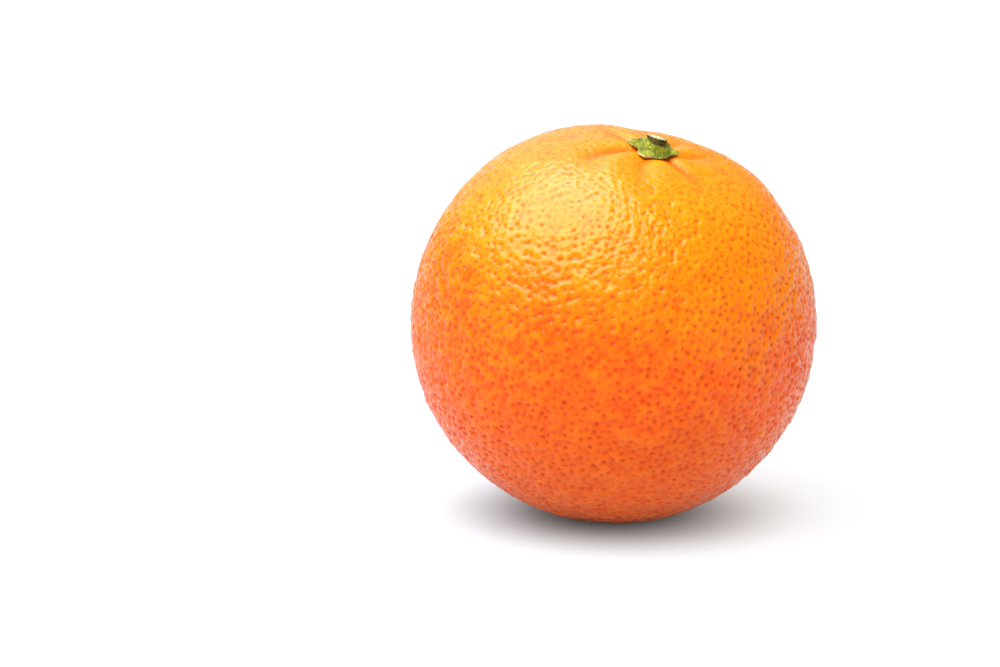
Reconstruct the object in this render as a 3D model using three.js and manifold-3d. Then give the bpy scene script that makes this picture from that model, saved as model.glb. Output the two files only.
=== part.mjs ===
// A whole, ripe orange with its calyx button and a short cut stem stub.
//
// Millimetres, +Z up. The origin is the middle of the footprint, on the plane
// the fruit rests on. The fruit leans a little, as a loose orange does when it
// settles on the small flattened patch of its side.
//
// Three pieces:
//   fruit      the peel-covered globe, one solid, with the shallow basin and
//              the radial lobes around the stem, a slightly flattened blossom
//              end and the small flat patch it rests on
//   calyx      the green star-shaped button in the basin
//   stem_stub  the short cut stalk that stands on the button

import * as THREE from 'three';
import { mergeVertices } from 'three/addons/utils/BufferGeometryUtils.js';
import Module from 'manifold-3d';

// ---------------------------------------------------------------- dimensions

const EQUATOR_R = 38.65;            // mean radius around the waist
const LEAN_TO_X = 0.2071;           // stem axis, as a unit vector
const LEAN_TO_Y = -0.2129;
const CENTRE = [0.045, 0.015, 37.2]; // middle of the globe

// Globe: departures from a sphere, as fractions of EQUATOR_R.
const BASIN_DEPTH = 0.0687;         // flat-bottomed stem basin
const BASIN_WIDTH = 28.4;           // degrees
const BASIN_STEEPNESS = 3;          // 2 is a bell, more gives a flatter bottom
const BLOSSOM_DEPTH = 0.025;        // flattened blossom end
const BLOSSOM_WIDTH = 26.0;         // degrees
const PIT_UNDER_BUTTON = 0.5;       // mm, narrow pit the button sits in
const PIT_WIDTH = 9.0;              // degrees
const OBLATE = 0.0003;
const OVAL_COS = 0.0003, OVAL_SIN = 0.0005;
const LEAN_COS = 0.0003, LEAN_SIN = -0.0002;
const TRI_COS = -0.0010, TRI_SIN = 0.0008;
const SADDLE_COS = 0.0005, SADDLE_SIN = 0.0006;
const EGG_COS = 0.0014, EGG_SIN = -0.0005;

// Furrows between the lobes around the stem:
// azimuth (deg), bend (deg per deg away from the stem), depth (mm), reach (deg)
const FURROWS = [
  [-165, 1.1, 0.90, 29],
  [-107, 0.8, 0.60, 30],
  [-41, -0.4, 1.00, 27],
  [18, 2.0, 0.80, 26],
  [60, 0.4, 0.60, 24],
  [100, 0.0, 0.70, 26],
  [139, -0.5, 0.80, 28],
];
const FURROW_BEND_FROM = 12;        // degrees from the stem, where the azimuths hold
const LOBE_ROUNDNESS = 2.4;
const LOBE_LEVEL = 0.62;

// Calyx button
const BUTTON_GAP = 0.3;             // clearance to the peel
const BUTTON_CENTRE_T = 1.1;        // thickness in the middle
const BUTTON_EDGE_T = 0.42;         // thickness at the rim
const BUTTON_NOTCH_R = 4.05;        // rim radius between the tips
// tips of the five sepals: azimuth (deg), radius (mm), half width (deg)
const SEPALS = [
  [163, 5.35, 34],
  [-112, 5.0, 44],
  [-8, 4.6, 32],
  [57, 5.0, 24],
  [110, 5.0, 26],
];

// Stem stub
const STUB_GAP = 0.3;               // clearance to the button
const STUB_FOOT_R = 2.35;
const STUB_R = 1.92;
const STUB_H = 1.25;
const STUB_CUT_SLOPE = 0.14;        // the cut face falls away to the back

// Mesh density
const FRUIT_AROUND = 64, FRUIT_RINGS = 36;
const BUTTON_AROUND = 45;
const STUB_AROUND = 24;

// ------------------------------------------------------------------- helpers

const RAD = Math.PI / 180;
const clamp = (x, a, b) => Math.min(b, Math.max(a, x));
const smooth = (a, b, x) => { const t = clamp((x - a) / (b - a), 0, 1); return t * t * (3 - 2 * t); };
const turn = (a) => ((a % 360) + 360) % 360;

// Height of the lobes and furrows above the plain globe, mm.
// theta: degrees from the stem axis; phi: azimuth in degrees.
function lobes(theta, phi) {
  const n = FURROWS.length;
  const azimuth = FURROWS.map(([a, b]) => a + b * (clamp(theta, 5, 30) - FURROW_BEND_FROM));
  const depth = FURROWS.map(([, , d, e]) => d * smooth(2.5, 9, theta) * (1 - smooth(0.38 * e, e, theta)));
  for (let k = 0; k < n; k++) {
    const next = (k + 1) % n;
    const span = turn(azimuth[next] - azimuth[k]);
    const off = turn(phi - azimuth[k]);
    if (off >= span) continue;
    const t = off / span;
    const pillow = 1 - Math.pow(Math.abs(2 * t - 1), LOBE_ROUNDNESS);
    const s = smooth(0, 1, t);
    return (depth[k] * (1 - s) + depth[next] * s) * (pillow - LOBE_LEVEL);
  }
  return 0;
}

// Radius of the peel in a direction given in the fruit's own frame (z = stem).
function peelRadius(x, y, z) {
  const theta = Math.acos(clamp(z, -1, 1)) / RAD;
  const phi = Math.atan2(y, x) / RAD;
  const bell = (a, w, steepness = 2) => Math.exp(-((a / w) ** steepness));
  let f = 1 - BASIN_DEPTH * bell(theta, BASIN_WIDTH, BASIN_STEEPNESS) - BLOSSOM_DEPTH * bell(180 - theta, BLOSSOM_WIDTH);
  f += OBLATE * (1.5 * z * z - 0.5);
  f += OVAL_COS * (x * x - y * y) + OVAL_SIN * 2 * x * y;
  f += LEAN_COS * x * z + LEAN_SIN * y * z;
  f += TRI_COS * (x ** 3 - 3 * x * y * y) + TRI_SIN * (3 * x * x * y - y ** 3);
  f += SADDLE_COS * z * (x * x - y * y) + SADDLE_SIN * z * 2 * x * y;
  f += (EGG_COS * x + EGG_SIN * y) * (5 * z * z - 1) / 2;
  return EQUATOR_R * f - PIT_UNDER_BUTTON * bell(theta, PIT_WIDTH) + lobes(theta, phi);
}

const direction = (theta, phi) => [
  Math.sin(theta) * Math.cos(phi), Math.sin(theta) * Math.sin(phi), Math.cos(theta),
];

// Point a height above the peel, at a distance rho (mm, along the surface) from the stem axis.
function abovePeel(rho, phi, height) {
  const theta = rho / (EQUATOR_R * (1 - BASIN_DEPTH));
  const d = direction(theta, phi);
  const r = peelRadius(...d) + height;
  return d.map((c) => c * r);
}

// Keeps only the positions and joins the shared corners.
function welded(geometry) {
  const g = geometry.clone();
  for (const name of Object.keys(g.attributes)) if (name !== 'position') g.deleteAttribute(name);
  return mergeVertices(g, 1e-5);
}

// Moves every corner of a geometry by a function of its position.
function shaped(geometry, fn) {
  const p = geometry.attributes.position;
  for (let i = 0; i < p.count; i++) {
    const [x, y, z] = fn(p.getX(i), p.getY(i), p.getZ(i));
    p.setXYZ(i, x, y, z);
  }
  p.needsUpdate = true;
  return geometry;
}

// A LatheGeometry turns about Y; this stands it up along Z.
const upright = (geometry) => geometry.rotateX(Math.PI / 2);

const wasm = await Module();
wasm.setup();

function toSolid(geometry) {
  const g = welded(geometry);
  return new wasm.Manifold(new wasm.Mesh({
    numProp: 3,
    vertProperties: new Float32Array(g.attributes.position.array),
    triVerts: new Uint32Array(g.index.array),
  }));
}

function fromSolid(solid) {
  const mesh = solid.getMesh();
  const g = new THREE.BufferGeometry();
  g.setAttribute('position', new THREE.BufferAttribute(new Float32Array(mesh.vertProperties), 3));
  g.setIndex(new THREE.BufferAttribute(new Uint32Array(mesh.triVerts), 1));
  return g;
}

// --------------------------------------------------------------------- frame

const stem = new THREE.Vector3(
  LEAN_TO_X, LEAN_TO_Y, Math.sqrt(1 - LEAN_TO_X ** 2 - LEAN_TO_Y ** 2),
);
const lean = new THREE.Quaternion().setFromUnitVectors(new THREE.Vector3(0, 0, 1), stem);

// --------------------------------------------------------------------- fruit

function makeFruit() {
  // The sphere's rings are crowded towards both ends, where the shape is finer.
  const ball = upright(new THREE.SphereGeometry(1, FRUIT_AROUND, FRUIT_RINGS));
  const v = new THREE.Vector3();
  shaped(ball, (x, y, z) => {
    const u = Math.acos(clamp(z, -1, 1)) / Math.PI;
    const theta = Math.PI * (u - 0.6 * Math.sin(2 * Math.PI * u) / (2 * Math.PI));
    const end = Math.hypot(x, y) < 1e-6;
    const d = end ? [0, 0, Math.sign(z)] : direction(theta, Math.atan2(y, x));
    const r = peelRadius(...d);
    v.set(d[0] * r, d[1] * r, d[2] * r).applyQuaternion(lean);
    return [v.x + CENTRE[0], v.y + CENTRE[1], v.z + CENTRE[2]];
  });
  // The resting patch: everything below the ground plane is taken off.
  const below = new THREE.BoxGeometry(120, 120, 20).translate(0, 0, -10);
  const g = fromSolid(toSolid(ball).subtract(toSolid(below)));
  return shaped(g, (x, y, z) => [x, y, Math.abs(z) < 2e-4 ? 0 : z]);
}

// --------------------------------------------------------------------- calyx

// Rim radius of the button: five pointed sepals joined by shallow notches.
function buttonRim(phiDeg) {
  let r = BUTTON_NOTCH_R;
  for (const [a, tip, half] of SEPALS) {
    const off = Math.abs(turn(phiDeg - a + 180) - 180) / half;
    if (off < 1) r = Math.max(r, BUTTON_NOTCH_R + (tip - BUTTON_NOTCH_R) * Math.pow(1 - off, 0.85));
  }
  return r;
}

function makeCalyx() {
  // Unit button: rings out along the underside and back over the top.
  const under = [0, 0.3, 0.6, 0.85, 1];
  const over = [1, 0.9, 0.72, 0.5, 0.25, 0];
  const profile = [
    ...under.map((q) => new THREE.Vector2(q, 0)),
    ...over.map((q) => new THREE.Vector2(q, 1)),
  ];
  const g = upright(new THREE.LatheGeometry(profile, BUTTON_AROUND));
  return shaped(g, (x, y, z) => {
    const q = Math.hypot(x, y);
    const phi = Math.atan2(y, x);
    const rho = q * buttonRim(phi / RAD);
    const thick = BUTTON_EDGE_T + (BUTTON_CENTRE_T - BUTTON_EDGE_T) * Math.cos(Math.min(1, q) * Math.PI / 2) ** 1.3;
    return abovePeel(rho, phi, BUTTON_GAP + (Math.abs(z) > 0.5 ? thick : 0));
  });
}

// ----------------------------------------------------------------- stem stub

function makeStub() {
  const foot = peelRadius(0, 0, 1) + BUTTON_GAP + BUTTON_CENTRE_T + STUB_GAP;
  const profile = [
    new THREE.Vector2(0, 0),
    new THREE.Vector2(STUB_FOOT_R, 0),
    new THREE.Vector2(STUB_FOOT_R * 0.93, 0.25),
    new THREE.Vector2(STUB_R, 0.55),
    new THREE.Vector2(STUB_R, STUB_H - 0.12),
    new THREE.Vector2(STUB_R - 0.12, STUB_H),
    new THREE.Vector2(0, STUB_H),
  ];
  const g = upright(new THREE.LatheGeometry(profile, STUB_AROUND));
  return shaped(g, (x, y, z) => {
    const h = Math.abs(z);
    const phi = Math.atan2(y, x);
    const wobble = 1 + 0.035 * Math.cos(3 * phi + 0.6) + 0.025 * Math.cos(5 * phi + 2.0);
    const cut = h > 0.9 ? -STUB_CUT_SLOPE * (y + 0.4 * x) * 0.6 : 0;
    return [x * wobble, y * wobble, foot + h + cut];
  });
}

// ------------------------------------------------------------------ assembly

const peelMaterial = new THREE.MeshStandardMaterial({ color: 0xf58a14, roughness: 0.42, metalness: 0 });
const calyxMaterial = new THREE.MeshStandardMaterial({ color: 0x6f8a2e, roughness: 0.72, metalness: 0 });
const stubMaterial = new THREE.MeshStandardMaterial({ color: 0x8a7a45, roughness: 0.85, metalness: 0 });

function piece(name, geometry, material) {
  const g = welded(geometry);
  g.computeVertexNormals();
  const mesh = new THREE.Mesh(g, material);
  mesh.name = name;
  return mesh;
}

const orange = new THREE.Group();
orange.add(piece('fruit', makeFruit(), peelMaterial));

const stemEnd = new THREE.Group();
stemEnd.position.set(...CENTRE);
stemEnd.quaternion.copy(lean);
stemEnd.add(piece('calyx', makeCalyx(), calyxMaterial));
stemEnd.add(piece('stem_stub', makeStub(), stubMaterial));
orange.add(stemEnd);

export default orange;
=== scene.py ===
# A whole orange: pitted peel, calyx button and cut stem stub, on a white table.
# Shapes are worked out in millimetres in the fruit's own frame (z along the stem)
# and placed in the row frame in metres.
import math
import bpy
import numpy as np
from mathutils import Matrix, Vector
from mathutils.geometry import delaunay_2d_cdt
from mathutils.kdtree import KDTree


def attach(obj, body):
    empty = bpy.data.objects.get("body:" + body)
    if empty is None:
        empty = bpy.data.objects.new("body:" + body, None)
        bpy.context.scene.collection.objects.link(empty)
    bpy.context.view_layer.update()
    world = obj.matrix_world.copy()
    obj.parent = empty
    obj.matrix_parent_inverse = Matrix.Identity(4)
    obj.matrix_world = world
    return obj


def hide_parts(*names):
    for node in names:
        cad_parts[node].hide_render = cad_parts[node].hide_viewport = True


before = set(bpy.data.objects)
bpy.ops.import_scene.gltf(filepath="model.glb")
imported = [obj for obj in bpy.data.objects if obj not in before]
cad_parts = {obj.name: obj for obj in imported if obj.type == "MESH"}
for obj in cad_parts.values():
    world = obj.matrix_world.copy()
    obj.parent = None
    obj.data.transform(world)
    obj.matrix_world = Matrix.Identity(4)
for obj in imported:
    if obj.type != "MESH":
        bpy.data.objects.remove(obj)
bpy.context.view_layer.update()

# ------------------------------------------------------------------ dimensions
EQUATOR_R = 38.65
STEM = np.array([0.2071, -0.2129, 0.0])
STEM[2] = math.sqrt(1 - STEM[0] ** 2 - STEM[1] ** 2)
CENTRE = np.array([0.045, 0.015, 37.2])

BASIN_DEPTH, BASIN_WIDTH, BASIN_STEEPNESS = 0.0687, 28.4, 3
BLOSSOM_DEPTH, BLOSSOM_WIDTH = 0.025, 26.0
PIT_UNDER_BUTTON, PIT_WIDTH = 0.5, 9.0
# azimuth (deg), bend (deg per deg), depth (mm), reach (deg)
FURROWS = [
    (-165, 1.1, 1.15, 30),
    (-107, 0.8, 0.60, 30),
    (-41, -0.4, 0.95, 27),
    (18, 2.0, 0.80, 26),
    (60, 0.4, 0.60, 24),
    (100, 0.0, 0.70, 26),
    (139, -0.5, 0.80, 28),
]
TOTAL_VERTICES = 98500


def smooth(a, b, x):
    t = np.clip((x - a) / (b - a), 0, 1)
    return t * t * (3 - 2 * t)


def bell(a, w, steepness=2):
    return np.exp(-((a / w) ** steepness))


def turn(a, b):
    """Signed difference of two azimuths, degrees."""
    return (np.asarray(a) - b + 180) % 360 - 180


# ----------------------------------------------------------------------- noise
def _hash(ix, iy, iz, seed):
    m = 0xFFFFFFFF
    h = (ix * 374761393 + iy * 668265263 + iz * 1442695041 + seed * 362437) & m
    h = ((h ^ (h >> 13)) * 1274126177) & m
    h = ((h ^ (h >> 15)) * 2246822519) & m
    return h ^ (h >> 16)


def noise(p, size, seed):
    """Smooth gradient noise, about -1 to 1, with features of the given size."""
    q = np.asarray(p, float) / size
    i = np.floor(q).astype(np.int64)
    f = q - i
    u = f * f * f * (f * (f * 6 - 15) + 10)
    total = np.zeros(len(q))
    for dx in (0, 1):
        for dy in (0, 1):
            for dz in (0, 1):
                h = _hash(i[:, 0] + dx, i[:, 1] + dy, i[:, 2] + dz, seed)
                a = (h & 1023) / 1024.0 * 2 * np.pi
                z = ((h >> 10) & 1023) / 511.5 - 1
                r = np.sqrt(np.maximum(0, 1 - z * z))
                d = (f[:, 0] - dx) * r * np.cos(a) + (f[:, 1] - dy) * r * np.sin(a) + (f[:, 2] - dz) * z
                w = (u[:, 0] if dx else 1 - u[:, 0]) * (u[:, 1] if dy else 1 - u[:, 1]) * (u[:, 2] if dz else 1 - u[:, 2])
                total += w * d
    return total * 1.7


# ----------------------------------------------------------------- fruit shape
def lobes(theta, phi):
    """Lobes and furrows around the stem, mm above the plain globe; angles in degrees."""
    n = len(FURROWS)
    azimuth = [a + b * (np.clip(theta, 5, 30) - 12) for a, b, d, e in FURROWS]
    depth = [d * smooth(2.5, 9, theta) * (1 - smooth(0.38 * e, e, theta)) for a, b, d, e in FURROWS]
    out = np.zeros_like(theta)
    for k in range(n):
        nxt = (k + 1) % n
        span = (azimuth[nxt] - azimuth[k]) % 360
        off = (phi - azimuth[k]) % 360
        inside = off < span
        t = np.where(inside, off / span, 0.5)
        u = 2 * t - 1
        pillow = 0.5 * (1 - np.abs(u) ** 2.4) + 0.25 * (1 + np.cos(np.pi * u))
        s = smooth(0, 1, t)
        out = np.where(inside, (depth[k] * (1 - s) + depth[nxt] * s) * (pillow - 0.54), out)
    return out


def patch(d, middle, width):
    """1 in the middle of a patch of skin, falling off over the width in degrees."""
    m = np.array(middle) / np.linalg.norm(middle)
    return bell(np.degrees(np.arccos(np.clip(d @ m, -1, 1))), width)


def peel_radius(d):
    """Radius of the peel, mm, for unit directions in the fruit's frame; also the lobe height."""
    x, y, z = d[:, 0], d[:, 1], np.clip(d[:, 2], -1, 1)
    theta = np.degrees(np.arccos(z))
    phi = np.degrees(np.arctan2(y, x))
    f = 1 - BASIN_DEPTH * bell(theta, BASIN_WIDTH, BASIN_STEEPNESS) - BLOSSOM_DEPTH * bell(180 - theta, BLOSSOM_WIDTH)
    f += 0.0003 * (1.5 * z * z - 0.5)
    f += 0.0003 * (x * x - y * y) + 0.0005 * 2 * x * y
    f += 0.0003 * x * z - 0.0002 * y * z
    f += -0.0010 * (x ** 3 - 3 * x * y * y) + 0.0008 * (3 * x * x * y - y ** 3)
    f += 0.0005 * z * (x * x - y * y) + 0.0006 * z * 2 * x * y
    f += (0.0014 * x - 0.0005 * y) * (5 * z * z - 1) / 2
    f += -0.0165 * bell(turn(phi, 99), 17) * bell(theta - 30, 9) + 0.0080 * bell(turn(phi, 36), 17) * bell(theta - 37, 10)
    lob = lobes(theta, phi)
    return EQUATOR_R * f - PIT_UNDER_BUTTON * bell(theta, PIT_WIDTH) + 1.2 * lob, lob, theta, phi


def lean_matrix():
    z = np.array([0, 0, 1.0])
    v = np.cross(z, STEM)
    c, s = STEM[2], np.linalg.norm(v)
    k = np.array([[0, -v[2], v[1]], [v[2], 0, -v[0]], [-v[1], v[0], 0]])
    return np.eye(3) + k + k @ k * ((1 - c) / s ** 2)


LEAN = lean_matrix()


def to_row(p):
    """Fruit frame, mm, to row frame, metres."""
    return (p @ LEAN.T + CENTRE) * 0.001


# ------------------------------------------------------------- oil gland layout
def scatter(rng, count, spacing_of, kept, cell, own):
    """Dart throwing on the unit sphere. kept: list of (x, y, z, radius) in mm; returns new ones."""
    grid = {}
    for i, (x, y, z, s) in enumerate(kept):
        grid.setdefault((int(x // cell), int(y // cell), int(z // cell)), []).append((x, y, z, s))
    p = rng.normal(size=(count, 3))
    p /= np.linalg.norm(p, axis=1)[:, None]
    spacing = spacing_of(p)
    p *= EQUATOR_R
    new = []
    for (x, y, z), s in zip(p.tolist(), spacing.tolist()):
        if s <= 0:
            continue
        cx, cy, cz = int(x // cell), int(y // cell), int(z // cell)
        ok = True
        for ix in (cx - 1, cx, cx + 1):
            for iy in (cy - 1, cy, cy + 1):
                for iz in (cz - 1, cz, cz + 1):
                    for (a, b, c, t) in grid.get((ix, iy, iz), ()):
                        m = 0.5 * (s + t)
                        if (a - x) ** 2 + (b - y) ** 2 + (c - z) ** 2 < m * m:
                            ok = False
                            break
                    if not ok:
                        break
                if not ok:
                    break
            if not ok:
                break
        if ok:
            new.append((x, y, z, s))
            grid.setdefault((cx, cy, cz), []).append((x, y, z, s))
    return new


def gland_layout():
    rng = np.random.default_rng(4117)

    def big(p):
        theta = np.degrees(np.arccos(np.clip(p[:, 2], -1, 1)))
        s = 1.30 + 0.14 * noise(p * EQUATOR_R, 9.0, 5)
        s = s * (1 + 0.35 * bell(theta, 9.0))
        s[theta < 5.5] = -1
        return s

    def small(p):
        theta = np.degrees(np.arccos(np.clip(p[:, 2], -1, 1)))
        s = 0.94 + 0.10 * noise(p * EQUATOR_R, 7.0, 6)
        s = s * (1 + 0.5 * bell(theta, 10.0))
        s[theta < 5.5] = -1
        return s

    a = scatter(rng, 60000, big, [], 2.2, True)
    b = scatter(rng, 50000, small, a, 2.2, False)
    centres = np.array([g[:3] for g in a + b]) / EQUATOR_R
    size = np.concatenate([
        rng.uniform(0.26, 0.39, len(a)) * (1 + 0.15 * noise(centres[:len(a)] * EQUATOR_R, 11.0, 8)),
        rng.uniform(0.20, 0.30, len(b)),
    ])
    strength = np.concatenate([
        np.where(rng.uniform(0, 1, len(a)) < 0.55, rng.uniform(0.70, 1.0, len(a)), rng.uniform(0.35, 0.70, len(a))),
        rng.uniform(0.25, 0.70, len(b)),
    ])
    theta = np.degrees(np.arccos(np.clip(centres[:, 2], -1, 1)))
    strength *= 1 - 0.75 * bell(theta, 16.0, 4)
    strength *= 1 - 0.26 * patch(centres, (-0.42, -0.38, 0.82), 19)
    return centres, size, strength, len(a)


def tangents(d):
    ref = np.where(np.abs(d[:, 2:3]) < 0.9, np.array([[0, 0, 1.0]]), np.array([[1.0, 0, 0]]))
    t1 = np.cross(ref, d)
    t1 /= np.linalg.norm(t1, axis=1)[:, None]
    return t1, np.cross(d, t1)


def kd(points):
    t = KDTree(len(points))
    for i, p in enumerate(points.tolist()):
        t.insert(p, i)
    t.balance()
    return t


def build_fruit():
    centres, size, strength, n_big = gland_layout()
    n = len(centres)
    rng = np.random.default_rng(977)
    t1, t2 = tangents(centres)
    ring_r = 0.62 * size
    spin = rng.uniform(0, 2 * np.pi, n)
    rings = []
    for k in range(6):
        a = spin + k * np.pi / 3
        off = (np.cos(a)[:, None] * t1 + np.sin(a)[:, None] * t2) * (ring_r / EQUATOR_R)[:, None]
        rings.append(centres + off)
    rings = np.concatenate(rings)
    rings /= np.linalg.norm(rings, axis=1)[:, None]

    # filler points between the glands
    tree = kd(centres * EQUATOR_R)
    want = TOTAL_VERTICES - 7 * n

    def fillers(total):
        i = np.arange(total) + 0.5
        z = 1 - 2 * i / total
        a = np.pi * (1 + 5 ** 0.5) * i
        r = np.sqrt(1 - z * z)
        p = np.stack([r * np.cos(a), r * np.sin(a), z], 1)
        g = np.random.default_rng(31).normal(0, 0.085 / EQUATOR_R, p.shape)
        p = p + g
        p /= np.linalg.norm(p, axis=1)[:, None]
        keep = np.ones(total, bool)
        for j, q in enumerate((p * EQUATOR_R).tolist()):
            for co, m, dist in tree.find_n(q, 2):
                if dist < ring_r[m] + 0.30:
                    keep[j] = False
                    break
        return p[keep]

    total = int(want / 0.42)
    fill = fillers(total)
    total = int(total * want / max(1, len(fill)))
    fill = fillers(total)
    if len(fill) > want + 700:
        fill = fill[:want + 700]
    d = np.concatenate([centres, rings, fill])

    # heights: broad dimples, cores, pebbling and slow waviness
    r, lob, theta, phi = peel_radius(d)
    p = d * EQUATOR_R
    dimple = np.zeros(len(d))
    for j, q in enumerate(p.tolist()):
        s = 0.0
        for co, m, dist in tree.find_n(q, 3):
            w = size[m]
            s += strength[m] * (0.235 * math.exp(-(dist / (1.45 * w)) ** 2) + 0.150 * math.exp(-(dist / (0.60 * w)) ** 2))
        dimple[j] = s
    calm = 0.30 + 0.70 * smooth(9, 38, theta) + 0.40 * smooth(42, 78, theta)
    waviness = 0.16 * noise(p, 15.0, 11) + 0.10 * noise(p, 7.5, 12)
    pebble = (0.085 + 0.070 * smooth(38, 55, theta)) * noise(p, 2.3, 13) + 0.110 * noise(p, 1.05, 14)
    lumps = 0.28 + 0.47 * smooth(9, 34, theta) + 0.35 * smooth(40, 60, theta) + 0.25 * smooth(60, 80, theta)
    calmer = patch(d, (-0.68, -0.12, 0.73), 25)
    livelier = patch(d, (0.16, -0.70, 0.68), 21)
    lumps = lumps * (1 - 0.42 * calmer + 0.22 * livelier)
    r = r + 0.09 - dimple * calm + waviness * (1 - 0.6 * bell(theta, 12)) + pebble * lumps
    # high on raised skin, low in the dimples; the peel colour uses this for painted highlight and painted shade
    relief_shading = np.clip(0.5 + (0.09 - dimple + pebble) / 0.45, 0, 1)
    # blossom end: a small sunken scar with a raised rim
    off = 180 - theta
    r = r - 0.45 * bell(off, 2.2) + 0.12 * bell(off - 3.4, 1.1)
    xyz = d * r[:, None] @ LEAN.T + CENTRE
    # the resting patch
    z = xyz[:, 2]
    soft = 0.5 * (z + np.sqrt(z * z + 0.22 ** 2)) - 0.012
    xyz[:, 2] = np.where(z < 1.2, np.maximum(soft, 0.0), z)
    xyz *= 0.001

    # spherical Delaunay, by stereographic projection from the middle of the stem end
    flat = d[:, :2] / (1.0 + 1e-9 - d[:, 2:3])
    _, _, faces, source, _, _ = delaunay_2d_cdt([Vector(q) for q in flat.tolist()], [], [], 0, 0.0)
    index = np.array([s[0] for s in source])
    tri = index[np.array([f[:] for f in faces])]
    # close the hole around the projection centre
    edges = np.concatenate([tri[:, [0, 1]], tri[:, [1, 2]], tri[:, [2, 0]]])
    have = set(map(tuple, edges.tolist()))
    step = {b: a for a, b in have if (b, a) not in have}
    start = next(iter(step))
    loop = [start]
    while step[loop[-1]] != start:
        loop.append(step[loop[-1]])
    cap = [[loop[0], loop[k], loop[k + 1]] for k in range(1, len(loop) - 1)]
    tri = np.concatenate([tri, np.array(cap)])
    a, b, c = xyz[tri[:, 0]], xyz[tri[:, 1]], xyz[tri[:, 2]]
    if np.einsum("ij,ij->", np.cross(b - a, c - a), (a + b + c) / 3 - CENTRE * 0.001) < 0:
        tri = tri[:, ::-1]

    ob = mesh_object("orange_peel", xyz, tri)
    pit = np.zeros(len(d))
    pit[:n] = strength
    pit[n:7 * n] = np.tile(strength * 0.34, 6)
    add_attribute(ob, "pit", pit)
    # furrow depth, used to paint shade into the furrows
    add_attribute(ob, "groove_shade", np.clip(-lob / 0.42, 0, 1))
    add_attribute(ob, "stem_angle", theta / 180)
    add_attribute(ob, "relief_shading", relief_shading)
    add_attribute(ob, "lively", 0.18 + 0.95 * livelier + 0.25 * patch(d, (0.60, -0.70, 0.36), 26))
    # a patch on the upper right, used for painted light
    add_attribute(ob, "painted_light_patch", patch(d, (0.60, -0.42, 0.68), 24))
    print("peel: glands", n, "big", n_big, "vertices", len(d), "triangles", len(tri), "cap", len(cap))
    return ob


def mesh_object(name, verts, faces):
    me = bpy.data.meshes.new(name)
    verts = np.asarray(verts, np.float32)
    if isinstance(faces, np.ndarray):
        nf, k = faces.shape
        me.vertices.add(len(verts))
        me.vertices.foreach_set("co", verts.ravel())
        me.loops.add(nf * k)
        me.loops.foreach_set("vertex_index", faces.astype(np.int32).ravel())
        me.polygons.add(nf)
        me.polygons.foreach_set("loop_start", np.arange(0, nf * k, k, dtype=np.int32))
        me.update(calc_edges=True)
    else:
        me.from_pydata(verts.tolist(), [], faces)
    me.validate()
    me.polygons.foreach_set("use_smooth", np.ones(len(me.polygons), bool))
    me.update()
    ob = bpy.data.objects.new(name, me)
    bpy.context.scene.collection.objects.link(ob)
    return ob


def add_attribute(ob, name, values):
    a = ob.data.attributes.new(name, "FLOAT", "POINT")
    a.data.foreach_set("value", np.asarray(values, np.float32))


# ------------------------------------------------------------------ calyx, stub
RIM = [  # azimuth (deg), rim radius (mm), lift of the edge (mm)
    (-170, 3.85, 0.50), (-157, 3.45, 0.55), (-142, 4.10, 0.42), (-128, 4.75, 0.26),
    (-112, 4.55, 0.14), (-95, 3.80, 0.22), (-76, 4.05, 0.30), (-58, 3.90, 0.46),
    (-40, 3.55, 0.62), (-25, 3.70, 0.60), (-10, 4.20, 0.52), (5, 4.55, 0.48),
    (20, 4.20, 0.50), (38, 3.80, 0.66), (55, 4.25, 0.92), (72, 4.00, 0.62),
    (90, 4.30, 0.50), (112, 5.05, 0.50), (128, 4.95, 0.52), (142, 5.20, 0.46),
    (156, 5.25, 0.34), (167, 5.35, 0.30), (179, 4.50, 0.40),
]
SEPALS = [(162, 24), (-122, 24), (0, 28), (57, 20), (110, 20)]   # midline azimuth, half width (deg)


def periodic(phi_deg, column):
    a = np.array([r[0] for r in RIM], float)
    v = np.array([r[column] for r in RIM], float)
    a = np.concatenate([a - 360, a, a + 360])
    v = np.concatenate([v, v, v])
    x = (np.asarray(phi_deg) + 180) % 360 - 180
    k = np.clip(np.searchsorted(a, x) - 1, 1, len(a) - 3)
    t = (x - a[k]) / (a[k + 1] - a[k])
    p0, p1, p2, p3 = v[k - 1], v[k], v[k + 1], v[k + 2]
    m1 = (p2 - p0) / 2 * 0.85
    m2 = (p3 - p1) / 2 * 0.85
    return (2 * t**3 - 3 * t**2 + 1) * p1 + (t**3 - 2 * t**2 + t) * m1 + (-2 * t**3 + 3 * t**2) * p2 + (t**3 - t**2) * m2


def above_peel(rho, phi, height):
    theta = rho / (EQUATOR_R * (1 - BASIN_DEPTH))
    d = np.stack([np.sin(theta) * np.cos(phi), np.sin(theta) * np.sin(phi), np.cos(theta)], 1)
    r, lob, _, _ = peel_radius(d)
    # stiff: it bridges the furrows and only rests on the lobes
    over = r - 1.2 * lob + height
    skin = r + 0.05 + 0.35 * np.minimum(height, 1.0)
    return d * (0.5 * (over + skin + np.sqrt((over - skin) ** 2 + 0.12 ** 2)))[:, None]


def ring_faces(rings, around, first_pole, last_pole):
    faces = []
    for k in range(around):
        faces.append((first_pole, 1 + (k + 1) % around, 1 + k))
    for j in range(rings - 1):
        a = 1 + j * around
        for k in range(around):
            n = (k + 1) % around
            faces.append((a + k, a + n, a + around + n, a + around + k))
    a = 1 + (rings - 1) * around
    for k in range(around):
        faces.append((last_pole, a + k, a + (k + 1) % around))
    return faces


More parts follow.
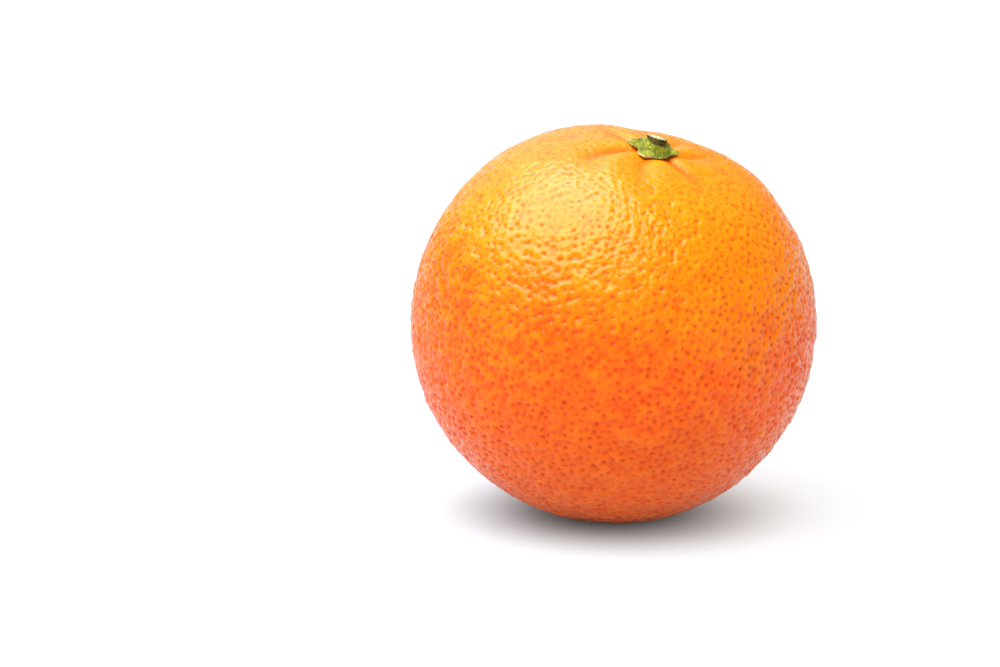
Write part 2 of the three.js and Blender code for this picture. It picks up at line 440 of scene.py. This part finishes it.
def build_calyx():
    around = 360
    under = [0.20, 0.42, 0.60, 0.74, 0.85, 0.92, 0.965, 0.99]
    over = [1.0, 1.0, 0.992, 0.975] + list(np.linspace(0.955, 0.14, 54))
    qs = np.array(under + over)
    # 0 underneath, rising over the cut edge of the sepals to 1 on top
    level = np.array([0.0] * len(under) + [0.30, 0.68, 0.90, 0.98] + [1.0] * 54)
    phi = np.linspace(-np.pi, np.pi, around, endpoint=False)
    Q, P = np.meshgrid(qs, phi, indexing="ij")
    T = np.repeat(level, around)
    q, p = Q.ravel(), P.ravel()
    deg = np.degrees(p)
    circle = np.stack([np.cos(p), np.sin(p), np.zeros_like(p)], 1)
    rim = periodic(deg, 1) + 0.10 * noise(circle * 5, 0.9, 21) + 0.07 * noise(circle * 5, 0.38, 22)
    lift = periodic(deg, 2) + 0.10 * noise(circle * 5, 1.7, 23)
    rho = q * rim
    xy = np.stack([rho * np.cos(p), rho * np.sin(p), np.zeros_like(p)], 1)
    low = 0.05 + lift * smooth(0.42, 0.97, q)
    # a fleshy star: thick round the stub, thinner at the edge, each sepal raised along its middle
    sepal = np.zeros_like(p)
    for mid, half in SEPALS:
        sepal = np.maximum(sepal, bell(turn(deg, mid), half))
    neck = 2.18 + 0.85 * bell(turn(deg, -172), 58) - 0.12 * bell(turn(deg, -25), 45)
    top = 0.34 + 0.30 * np.cos(np.minimum(1, q) * np.pi / 2)
    top = top + (neck - 0.64) * smooth(3.45, 1.70, rho) ** 1.25
    outer = smooth(2.1, 3.2, rho)
    top = top + outer * (0.20 * sepal - 0.06) * (1 - 0.55 * smooth(0.80, 1.0, q))
    streak = noise(np.stack([np.cos(p) * 3.2, np.sin(p) * 3.2, rho * 0.25], 1), 0.32, 27)
    top = top + 0.040 * streak * outer
    top = top + 0.14 * noise(xy, 1.20, 24) + 0.085 * noise(xy, 0.58, 25) + 0.030 * noise(xy, 0.26, 26)
    top = np.maximum(top, 0.16)
    h = low + top * T
    v = above_peel(rho, p, h)
    pole_low = above_peel(np.zeros(1), np.zeros(1), np.array([0.05]))
    pole_up = above_peel(np.zeros(1), np.zeros(1), np.array([0.05 + 2.0]))
    verts = np.concatenate([pole_low, v, pole_up])
    faces = ring_faces(len(qs), around, 0, len(verts) - 1)
    ob = mesh_object("calyx_button", to_row(verts), faces)
    fix_normals(ob)
    corner = bell(turn(deg, -106), 17) * smooth(0.78, 0.97, q)
    tips = smooth(4.55, 5.2, rim) * smooth(0.80, 0.99, q)
    flake = bell(turn(deg, 55), 15) * smooth(0.80, 0.95, q)
    lip = bell(turn(deg, -121), 13) * smooth(0.925, 0.975, q)
    dry = np.clip(1.0 * corner + 0.65 * tips + 0.45 * smooth(0.955, 1.0, q), 0, 1)
    add_attribute(ob, "reach", np.concatenate([[0], q, [0]]))
    add_attribute(ob, "dry", np.concatenate([[0], dry, [0]]))
    add_attribute(ob, "flake", np.concatenate([[0], np.clip(flake, 0, 1), [0]]))
    add_attribute(ob, "lip", np.concatenate([[0], lip * smooth(0.2, 0.8, T), [0]]))
    # the underside, which the calyx material paints near-black as painted shade
    add_attribute(ob, "under", np.concatenate([[1], 1 - smooth(0.0, 0.75, T), [0]]))
    # valleys between the sepals, used to paint shade into them
    add_attribute(ob, "valley_shade", np.concatenate([[0], outer * (1 - sepal) * (1 - smooth(0.0, 0.45, top - 0.80)), [0]]))
    print("calyx", len(verts), "vertices", len(faces), "faces")
    return ob


def fix_normals(ob):
    import bmesh
    bm = bmesh.new()
    bm.from_mesh(ob.data)
    bmesh.ops.recalc_face_normals(bm, faces=bm.faces)
    bm.to_mesh(ob.data)
    bm.free()
    ob.data.polygons.foreach_set("use_smooth", np.ones(len(ob.data.polygons), bool))


STUB_TOP = 3.22      # height of the middle of the cut above the peel
STUB_R = 1.93


def build_stub():
    around = 160
    foot, _, _, _ = peel_radius(np.array([[0, 0, 1.0]]))
    side_h = np.concatenate([np.linspace(1.0, 2.2, 14), np.linspace(2.28, STUB_TOP - 0.14, 12), [STUB_TOP - 0.07, STUB_TOP - 0.02]])
    phi = np.linspace(-np.pi, np.pi, around, endpoint=False)
    deg = np.degrees(phi)
    rows, cut = [], []
    for h in side_h:
        t = h / STUB_TOP
        waist = 0.26 * bell(h - 2.35, 0.38) * (0.45 + 0.55 * bell(turn(deg, 165), 80))
        flare = 0.34 * (1 - smooth(1.2, 2.1, h))
        c = np.stack([np.cos(phi) * 2, np.sin(phi) * 2, np.full(around, h * 0.45)], 1)
        r = STUB_R + flare - waist + 0.08 * np.cos(3 * phi + 0.6) * t + 0.05 * np.cos(5 * phi + 2.0)
        r = r + 0.13 * noise(c, 0.60, 31) + 0.07 * noise(c, 0.28, 32)
        r = r - 0.07 * smooth(STUB_TOP - 0.10, STUB_TOP, h)
        rows.append(np.stack([r * np.cos(phi), r * np.sin(phi), np.full(around, h)], 1))
        cut.append(np.full(around, 0.0 if h < STUB_TOP - 0.05 else 0.55))
    last = rows[-1]
    for s in (0.96, 0.91, 0.84, 0.76, 0.67, 0.58, 0.49, 0.40, 0.31, 0.22, 0.12):
        base = last * np.array([s, s, 0])
        c = np.stack([base[:, 0], base[:, 1], np.zeros(around)], 1)
        z = STUB_TOP - 0.02 + 0.20 * noise(c, 0.85, 35) * smooth(1, 0.85, s) + 0.13 * noise(c, 0.42, 33) + 0.04 * noise(c, 0.2, 34) - 0.14 * bell(s, 0.20)
        rows.append(np.stack([base[:, 0], base[:, 1], z], 1))
        cut.append(np.full(around, 1.0))
    v = np.concatenate(rows)
    v = np.concatenate([[[0, 0, side_h[0]]], v, [[0, 0, STUB_TOP - 0.16]]])
    cut = np.concatenate([[0], np.concatenate(cut), [1]])
    # the cut is oblique: higher towards the viewer, lower on the far side
    v[:, 2] += smooth(2.0, STUB_TOP, v[:, 2]) * (-0.25 * v[:, 1] - 0.09 * v[:, 0]) + foot[0]
    v[:, 0] -= 0.10
    faces = ring_faces(len(rows), around, 0, len(v) - 1)
    ob = mesh_object("stem_end", to_row(v), faces)
    fix_normals(ob)
    add_attribute(ob, "cut", cut)
    add_attribute(ob, "radial", np.hypot(v[:, 0], v[:, 1]) / STUB_R)
    add_attribute(ob, "height", (v[:, 2] - foot[0]) / STUB_TOP)
    add_attribute(ob, "side", 0.5 + 0.5 * v[:, 0] / STUB_R)
    return ob


# ------------------------------------------------------------------- materials
class Nodes:
    def __init__(self, name):
        self.mat = bpy.data.materials.new(name)
        self.mat.use_nodes = True
        self.t = self.mat.node_tree
        self.t.nodes.clear()
        self.out = self.t.nodes.new("ShaderNodeOutputMaterial")
        self.bsdf = self.t.nodes.new("ShaderNodeBsdfPrincipled")
        self.t.links.new(self.bsdf.outputs[0], self.out.inputs["Surface"])
        self.coord = self.t.nodes.new("ShaderNodeTexCoord")

    def link(self, a, b):
        self.t.links.new(a, b)

    def _in(self, sock, v):
        if isinstance(v, (int, float)):
            sock.default_value = v
        elif isinstance(v, (tuple, list)):
            sock.default_value = tuple(v) if len(v) == 4 else tuple(v) + (1.0,)
        else:
            self.link(v, sock)

    def noise(self, scale, detail=2.0, rough=0.5, distort=0.0, vector=None):
        n = self.t.nodes.new("ShaderNodeTexNoise")
        n.inputs["Scale"].default_value = scale
        n.inputs["Detail"].default_value = detail
        n.inputs["Roughness"].default_value = rough
        n.inputs["Distortion"].default_value = distort
        self.link(vector or self.coord.outputs["Object"], n.inputs["Vector"])
        return n.outputs["Fac"]

    def voronoi(self, scale, feature="F1", out="Distance", randomness=1.0, vector=None):
        n = self.t.nodes.new("ShaderNodeTexVoronoi")
        n.feature = feature
        n.inputs["Scale"].default_value = scale
        n.inputs["Randomness"].default_value = randomness
        self.link(vector or self.coord.outputs["Object"], n.inputs["Vector"])
        return n.outputs[out]

    def attr(self, name):
        n = self.t.nodes.new("ShaderNodeAttribute")
        n.attribute_type = "GEOMETRY"
        n.attribute_name = name
        return n.outputs["Fac"]

    def math(self, op, a, b=0.0, c=0.0, clamp=False):
        n = self.t.nodes.new("ShaderNodeMath")
        n.operation = op
        n.use_clamp = clamp
        self._in(n.inputs[0], a)
        self._in(n.inputs[1], b)
        self._in(n.inputs[2], c)
        return n.outputs[0]

    def remap(self, v, a, b, c=0.0, d=1.0, smooth=False):
        n = self.t.nodes.new("ShaderNodeMapRange")
        n.interpolation_type = "SMOOTHSTEP" if smooth else "LINEAR"
        self._in(n.inputs["Value"], v)
        for k, x in zip(("From Min", "From Max", "To Min", "To Max"), (a, b, c, d)):
            n.inputs[k].default_value = x
        return n.outputs["Result"]

    def mix(self, fac, a, b, mode="MIX"):
        n = self.t.nodes.new("ShaderNodeMix")
        n.data_type = "RGBA"
        n.blend_type = mode
        n.clamp_factor = True
        self._in(n.inputs[0], fac)
        self._in(n.inputs[6], a)
        self._in(n.inputs[7], b)
        return n.outputs[2]

    def bump(self, height, distance, strength=1.0, normal=None):
        n = self.t.nodes.new("ShaderNodeBump")
        n.inputs["Distance"].default_value = distance
        n.inputs["Strength"].default_value = strength
        self.link(height, n.inputs["Height"])
        if normal is not None:
            self.link(normal, n.inputs["Normal"])
        return n.outputs["Normal"]

    def set(self, name, v):
        self._in(self.bsdf.inputs[name], v)


def peel_material():
    m = Nodes("peel_skin")
    pit = m.attr("pit")
    groove_shade = m.attr("groove_shade")
    relief_shading = m.attr("relief_shading")
    stem = m.attr("stem_angle")
    lively = m.attr("lively")
    painted_light_patch = m.attr("painted_light_patch")
    wide = m.noise(62, 3, 0.5)           # 16 mm patches
    mid = m.noise(260, 3, 0.55)          # 4 mm
    fine = m.noise(1150, 3, 0.6)         # under 1 mm
    grain = m.noise(4200, 2, 0.6)        # pores
    knob = m.noise(900, 1, 0.5)          # 1 mm bumps between the glands
    cell = m.voronoi(840)                # the smallest glands, 1.2 mm apart
    # yellower round the stem, redder and a little darker towards the blossom end
    shift = m.math("ADD", stem, m.remap(wide, 0.30, 0.70, 0.06, -0.06))
    col = m.mix(m.remap(shift, 0.16, 0.33), (0.780, 0.190, 0.0034), (0.850, 0.176, 0.0024))
    col = m.mix(m.remap(shift, 0.31, 0.42), col, (0.920, 0.084, 0.0012))
    col = m.mix(m.remap(shift, 0.42, 0.58), col, (0.790, 0.095, 0.0012))
    low = m.remap(shift, 0.40, 0.58)

    def tint(above, below):
        return m.mix(low, above, below)

    # painted light: a lighter, yellower patch on the upper right where more light falls
    col = m.mix(m.math("MULTIPLY", painted_light_patch, 0.46), col, (0.900, 0.245, 0.0034))
    col = m.mix(m.remap(mid, 0.42, 0.70, 0.0, 0.28), col, tint((0.900, 0.255, 0.0030), (0.860, 0.165, 0.0020)))
    # painted highlight on raised skin, painted shade in the dimples and hollows
    col = m.mix(m.remap(relief_shading, 0.50, 0.90, 0.0, 0.36), col, tint((0.910, 0.290, 0.0040), (0.870, 0.185, 0.0022)))
    col = m.mix(m.remap(relief_shading, 0.08, 0.52, 0.48, 0.0), col, tint((0.780, 0.072, 0.0010), (0.700, 0.042, 0.0008)))
    col = m.mix(m.remap(fine, 0.50, 0.74, 0.0, 0.22), col, tint((0.790, 0.068, 0.0010), (0.720, 0.045, 0.0008)))
    col = m.mix(m.remap(fine, 0.28, 0.50, 0.20, 0.0), col, tint((0.910, 0.275, 0.0035), (0.870, 0.180, 0.0022)))
    col = m.mix(m.remap(cell, 0.04, 0.24, 0.40, 0.0, smooth=True), col, tint((0.600, 0.062, 0.0012), (0.560, 0.032, 0.0008)))
    # painted shade: the furrows are painted a deeper, darker red
    col = m.mix(m.math("MULTIPLY", groove_shade, 0.80), col, (0.945, 0.092, 0.0010))
    # gland mouths: darker and a little brown
    dots = m.remap(pit, 0.08, 0.90, 0.0, 0.82)
    mouth = m.mix(m.remap(stem, 0.15, 0.40), (0.230, 0.072, 0.0014), (0.620, 0.036, 0.0005))
    col = m.mix(dots, col, mouth)
    # a few faint russet specks
    speck = m.voronoi(210, randomness=1.0)
    speck_mask = m.math("MULTIPLY", m.remap(speck, 0.05, 0.11, 0.55, 0.0, smooth=True), m.remap(m.noise(95, 2, 0.5), 0.56, 0.66))
    col = m.mix(speck_mask, col, (0.330, 0.085, 0.012))
    # scar at the blossom end
    scar = m.remap(stem, 0.981, 0.990, 0.0, 1.0, smooth=True)
    col = m.mix(m.math("MULTIPLY", scar, m.remap(m.noise(1500, 2, 0.5), 0.3, 0.6, 0.6, 1.0)), col, (0.150, 0.070, 0.022))
    m.set("Base Color", col)
    rough = m.remap(fine, 0.3, 0.7, 0.15, 0.22)
    rough = m.math("ADD", rough, m.math("MULTIPLY", pit, 0.20))
    rough = m.math("ADD", rough, m.remap(stem, 0.06, 0.16, 0.16, 0.0))
    rough = m.math("ADD", rough, m.math("MULTIPLY", scar, 0.35), clamp=True)
    m.set("Roughness", rough)
    m.set("IOR", 1.42)
    m.bsdf.inputs["Specular Tint"].default_value = (1.0, 0.66, 0.41, 1)
    m.set("Subsurface Weight", 0.10)
    m.bsdf.inputs["Subsurface Radius"].default_value = (1.0, 0.32, 0.08)
    m.set("Subsurface Scale", 0.0008)
    n0 = m.bump(m.remap(cell, 0.0, 0.42, smooth=True), 0.000070, 0.9)
    n0 = m.bump(m.math("MULTIPLY", knob, lively), 0.00042, 0.8, n0)
    n1 = m.bump(fine, 0.00006, 0.70, n0)
    n2 = m.bump(grain, 0.000024, 0.7, n1)
    m.link(n2, m.bsdf.inputs["Normal"])
    return m.mat


def calyx_material():
    m = Nodes("calyx_skin")
    dry = m.attr("dry")
    reach = m.attr("reach")
    under = m.attr("under")
    valley_shade = m.attr("valley_shade")
    flake = m.attr("flake")
    mott = m.noise(620, 4, 0.6, 0.4)
    fine = m.noise(2400, 3, 0.6)
    patch = m.noise(1250, 3, 0.6, 0.3)
    col = m.mix(m.remap(mott, 0.34, 0.64), (0.085, 0.112, 0.0030), (0.235, 0.242, 0.0110))
    col = m.mix(m.remap(reach, 0.45, 0.95, 0.0, 0.45), col, (0.300, 0.305, 0.0180))
    col = m.mix(m.remap(patch, 0.50, 0.66, 0.0, 0.80), col, (0.050, 0.074, 0.0030))
    col = m.mix(m.remap(patch, 0.32, 0.46, 0.55, 0.0), col, (0.450, 0.450, 0.0420))
    col = m.mix(m.remap(fine, 0.54, 0.72, 0.0, 0.60), col, (0.030, 0.048, 0.0050))
    # painted shade: the valleys between the sepals are painted darker
    col = m.mix(m.math("MULTIPLY", valley_shade, 0.55), col, (0.030, 0.052, 0.0060))
    col = m.mix(m.remap(reach, 0.40, 0.28, 0.0, 0.50), col, (0.130, 0.165, 0.0220))
    browned = m.math("MULTIPLY", dry, m.remap(m.noise(900, 3, 0.6), 0.34, 0.60), clamp=True)
    col = m.mix(browned, col, (0.330, 0.190, 0.0600))
    col = m.mix(m.remap(m.noise(1500, 2, 0.5), 0.64, 0.73, 0.0, 0.75), col, (0.085, 0.042, 0.0150))
    col = m.mix(flake, col, (0.045, 0.024, 0.0090))
    # painted shade: the underside of the calyx is painted near-black
    col = m.mix(m.math("MULTIPLY", under, 0.80), col, (0.030, 0.022, 0.0080))
    lip = m.math("MULTIPLY", m.attr("lip"), m.remap(mott, 0.30, 0.50, 0.45, 1.0))
    col = m.mix(lip, col, (0.560, 0.400, 0.150))
    m.set("Base Color", col)
    m.set("Roughness", m.remap(fine, 0.3, 0.7, 0.46, 0.70))
    m.set("IOR", 1.38)
    m.bsdf.inputs["Specular Tint"].default_value = (1.0, 1.0, 0.40, 1)
    m.set("Subsurface Weight", 0.04)
    m.bsdf.inputs["Subsurface Radius"].default_value = (0.6, 0.8, 0.2)
    m.set("Subsurface Scale", 0.0004)
    n1 = m.bump(mott, 0.00020, 0.7)
    n2 = m.bump(fine, 0.00007, 0.8, n1)
    m.link(n2, m.bsdf.inputs["Normal"])
    return m.mat


def stub_material():
    m = Nodes("stem_wood")
    cut = m.attr("cut")
    radial = m.attr("radial")
    height = m.attr("height")
    side = m.attr("side")
    mott = m.noise(850, 4, 0.6, 0.5)
    fine = m.noise(3600, 3, 0.6)
    bark = m.mix(m.remap(mott, 0.40, 0.62), (0.018, 0.020, 0.0040), (0.110, 0.105, 0.0200))
    bark = m.mix(m.remap(m.noise(620, 2, 0.5), 0.56, 0.64, 0.0, 0.7), bark, (0.200, 0.085, 0.0240))
    bark = m.mix(m.remap(m.noise(1500, 2, 0.5), 0.54, 0.64, 0.0, 0.8), bark, (0.014, 0.010, 0.0040))
    bark = m.mix(m.remap(height, 0.45, 0.68, 0.85, 0.0), bark, (0.060, 0.080, 0.0120))
    wood = m.mix(m.remap(fine, 0.35, 0.65), (0.320, 0.305, 0.1350), (0.500, 0.485, 0.2750))
    wood = m.mix(m.remap(mott, 0.54, 0.66, 0.0, 0.75), wood, (0.200, 0.190, 0.0600))
    wood = m.mix(m.math("MULTIPLY", m.remap(side, 0.62, 0.95), m.remap(mott, 0.44, 0.58, 0.0, 0.9)), wood, (0.060, 0.052, 0.0160))
    wood = m.mix(m.remap(radial, 0.93, 1.04, 0.0, 0.70, smooth=True), wood, (0.110, 0.100, 0.0350))
    wood = m.mix(m.remap(radial, 0.05, 0.20, 0.55, 0.0, smooth=True), wood, (0.140, 0.105, 0.0450))
    col = m.mix(m.remap(cut, 0.30, 0.9, 0.0, 1.0), bark, wood)
    m.set("Base Color", col)
    m.set("Roughness", m.remap(fine, 0.3, 0.7, 0.70, 0.92))
    m.set("IOR", 1.40)
    n1 = m.bump(mott, 0.00022, 0.7)
    n2 = m.bump(fine, 0.00008, 0.9, n1)
    m.link(n2, m.bsdf.inputs["Normal"])
    return m.mat


# -------------------------------------------------------------------- assembly
peel = build_fruit()
peel.data.materials.append(peel_material())
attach(peel, "root")
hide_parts("fruit")

calyx = build_calyx()
calyx.data.materials.append(calyx_material())
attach(calyx, "root")
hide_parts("calyx")

stub = build_stub()
stub.data.materials.append(stub_material())
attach(stub, "root")
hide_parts("stem_stub")

# ----------------------------------------------------------------------- stage
def build_floor():
    n, r_out = 96, 6.0
    radii = [0.05, 0.1, 0.2, 0.35, 0.6, 1.0, 1.8, 3.2, r_out]
    verts = [(0, 0, 0)]
    for r in radii:
        for k in range(n):
            a = 2 * math.pi * k / n
            verts.append((r * math.cos(a), r * math.sin(a), 0))
    faces = [(0, 1 + k, 1 + (k + 1) % n) for k in range(n)]
    for j in range(len(radii) - 1):
        a = 1 + j * n
        for k in range(n):
            q = (k + 1) % n
            faces.append((a + k, a + n + k, a + n + q, a + q))
    ob = mesh_object("floor", np.array(verts), faces)
    # near the object the table takes its shadow, and a painted shadow darkens it further: its glow is weak close to
    # the middle and rises outwards; further out it fades to even white
    mat = bpy.data.materials.new("table_top")
    mat.use_nodes = True
    t = mat.node_tree
    t.nodes.clear()
    out = t.nodes.new("ShaderNodeOutputMaterial")
    near = t.nodes.new("ShaderNodeBsdfPrincipled")
    near.inputs["Base Color"].default_value = (0.14, 0.14, 0.14, 1)
    near.inputs["Roughness"].default_value = 0.8
    near.inputs["Specular IOR Level"].default_value = 0.1
    near.inputs["Emission Color"].default_value = (1, 1, 1, 1)
    far = t.nodes.new("ShaderNodeEmission")
    far.inputs["Strength"].default_value = 1.08
    coord = t.nodes.new("ShaderNodeTexCoord")
    length = t.nodes.new("ShaderNodeVectorMath")
    length.operation = "LENGTH"
    fade = t.nodes.new("ShaderNodeMapRange")
    fade.interpolation_type = "SMOOTHSTEP"
    fade.inputs["From Min"].default_value = 0.25
    fade.inputs["From Max"].default_value = 0.60
    mix = t.nodes.new("ShaderNodeMixShader")
    t.links.new(coord.outputs["Object"], length.inputs[0])
    t.links.new(length.outputs["Value"], fade.inputs["Value"])
    t.links.new(fade.outputs["Result"], mix.inputs[0])
    t.links.new(near.outputs[0], mix.inputs[1])
    t.links.new(far.outputs[0], mix.inputs[2])
    # painted shadow: the table glows less near the middle
    painted_shadow_glow = t.nodes.new("ShaderNodeMapRange")
    painted_shadow_glow.interpolation_type = "SMOOTHSTEP"
    painted_shadow_glow.inputs["From Min"].default_value = 0.006
    painted_shadow_glow.inputs["From Max"].default_value = 0.0405
    painted_shadow_glow.inputs["To Min"].default_value = 0.02
    painted_shadow_glow.inputs["To Max"].default_value = 0.81
    t.links.new(length.outputs["Value"], painted_shadow_glow.inputs["Value"])
    t.links.new(painted_shadow_glow.outputs["Result"], near.inputs["Emission Strength"])
    t.links.new(mix.outputs[0], out.inputs["Surface"])
    ob.data.materials.append(mat)
    return ob


floor = build_floor()

def build_world():
    """White round the horizon, a softly lit warm room above."""
    world = bpy.data.worlds.new("studio")
    bpy.context.scene.world = world
    world.use_nodes = True
    t = world.node_tree
    t.nodes.clear()
    out = t.nodes.new("ShaderNodeOutputWorld")
    bg = t.nodes.new("ShaderNodeBackground")
    coord = t.nodes.new("ShaderNodeTexCoord")
    axes = t.nodes.new("ShaderNodeSeparateXYZ")
    t.links.new(coord.outputs["Generated"], axes.inputs[0])

    def ramp(sock, a, b, lo, hi):
        n = t.nodes.new("ShaderNodeMapRange")
        n.interpolation_type = "SMOOTHSTEP"
        for k, v in zip(("From Min", "From Max", "To Min", "To Max"), (a, b, lo, hi)):
            n.inputs[k].default_value = v
        t.links.new(sock, n.inputs["Value"])
        return n.outputs["Result"]

    away = t.nodes.new("ShaderNodeMath")        # towards the back right
    away.operation = "MULTIPLY_ADD"
    t.links.new(axes.outputs["X"], away.inputs[0])
    away.inputs[1].default_value = 0.55
    t.links.new(axes.outputs["Y"], away.inputs[2])
    room = ramp(away.outputs[0], -0.7, 0.6, WORLD_FRONT, WORLD_BACK)
    low = ramp(axes.outputs["Z"], 0.05, 0.16, 1.0, 0.0)
    mix = t.nodes.new("ShaderNodeMix")
    mix.data_type = "FLOAT"
    t.links.new(low, mix.inputs[0])
    t.links.new(room, mix.inputs[2])
    mix.inputs[3].default_value = 1.05
    t.links.new(mix.outputs[0], bg.inputs["Strength"])
    tone = t.nodes.new("ShaderNodeMix")
    tone.data_type = "RGBA"
    tone.inputs[6].default_value = (1.0, 0.84, 0.46, 1)
    tone.inputs[7].default_value = (1, 1, 1, 1)
    t.links.new(low, tone.inputs[0])
    t.links.new(tone.outputs[2], bg.inputs["Color"])
    # a dim cool panel behind on the left
    toward = t.nodes.new("ShaderNodeVectorMath")
    toward.operation = "DOT_PRODUCT"
    t.links.new(coord.outputs["Generated"], toward.inputs[0])
    toward.inputs[1].default_value = Vector((-0.26, 0.84, 0.48)).normalized()
    panel = t.nodes.new("ShaderNodeBackground")
    panel.inputs["Color"].default_value = (0.35, 0.42, 1.0, 1)
    t.links.new(ramp(toward.outputs["Value"], 0.86, 0.99, 0.0, 0.85), panel.inputs["Strength"])
    both = t.nodes.new("ShaderNodeAddShader")
    t.links.new(bg.outputs[0], both.inputs[0])
    t.links.new(panel.outputs[0], both.inputs[1])
    t.links.new(both.outputs[0], out.inputs["Surface"])


WORLD_FRONT, WORLD_BACK = 0.74, 0.38
build_world()


def area_light(name, at, target, size_x, size_y, radiance, colour, turned=0.0):
    data = bpy.data.lights.new(name, "AREA")
    data.shape = "RECTANGLE"
    data.size, data.size_y = size_x, size_y
    data.energy = radiance * math.pi * size_x * size_y
    data.color = colour
    ob = bpy.data.objects.new(name, data)
    ob.location = at
    ob.rotation_euler = (Vector(target) - Vector(at)).to_track_quat("-Z", "Y").to_euler()
    ob.rotation_euler.rotate_axis("Z", turned)
    ob.visible_camera = False
    bpy.context.scene.collection.objects.link(ob)
    return ob


# one big softbox overhead, reaching further left and back than right; sides in units of its height
SOFTBOX_H = 0.70
LEFT, RIGHT, NEAR, FAR = -1.22, 0.13, -1.02, 0.54
area_light(
    "softbox",
    (0.5 * (LEFT + RIGHT) * SOFTBOX_H, 0.5 * (NEAR + FAR) * SOFTBOX_H, SOFTBOX_H + 0.037),
    (0.5 * (LEFT + RIGHT) * SOFTBOX_H, 0.5 * (NEAR + FAR) * SOFTBOX_H + 1e-5, 0.0),
    (RIGHT - LEFT) * SOFTBOX_H,
    (FAR - NEAR) * SOFTBOX_H,
    7.3,
    (0.95, 1.0, 1.28),
    math.radians(11),
)

# ---------------------------------------------------------------------- camera
PHOTO_W, PHOTO_H = 1000.0, 667.0
PIXELS_PER_RADIAN = 3394.0
ELEVATION = math.radians(12.0)
DISTANCE = 0.650
AIM_PIXEL = (613.43, 321.70)     # where the middle of the fruit falls in the frame


def make_camera():
    centre = np.array(CENTRE) * 0.001
    pos = centre + DISTANCE * np.array([0, -math.cos(ELEVATION), math.sin(ELEVATION)])
    to = (centre - pos) / DISTANCE
    dx = (AIM_PIXEL[0] - PHOTO_W / 2) / PIXELS_PER_RADIAN
    dy = -(AIM_PIXEL[1] - PHOTO_H / 2) / PIXELS_PER_RADIAN
    yaw, pitch = 0.0, -ELEVATION
    for _ in range(60):
        f = np.array([math.sin(yaw) * math.cos(pitch), math.cos(yaw) * math.cos(pitch), math.sin(pitch)])
        r = np.array([math.cos(yaw), -math.sin(yaw), 0.0])
        u = np.cross(r, f)
        yaw += (to @ r) / (to @ f) - dx
        pitch += (to @ u) / (to @ f) - dy
    cam = bpy.data.cameras.new("camera")
    cam.sensor_fit = "HORIZONTAL"
    cam.sensor_width = 36.0
    cam.lens = PIXELS_PER_RADIAN * 36.0 / PHOTO_W
    cam.clip_start = 0.01
    ob = bpy.data.objects.new("camera", cam)
    m = Matrix(((r[0], u[0], -f[0], pos[0]), (r[1], u[1], -f[1], pos[1]), (r[2], u[2], -f[2], pos[2]), (0, 0, 0, 1)))
    ob.matrix_world = m
    bpy.context.scene.collection.objects.link(ob)
    bpy.context.scene.camera = ob


make_camera()

scene = bpy.context.scene
scene.view_settings.view_transform = "Standard"
scene.view_settings.look = "None"
scene.view_settings.exposure = 0.0
scene.view_settings.gamma = 1.0
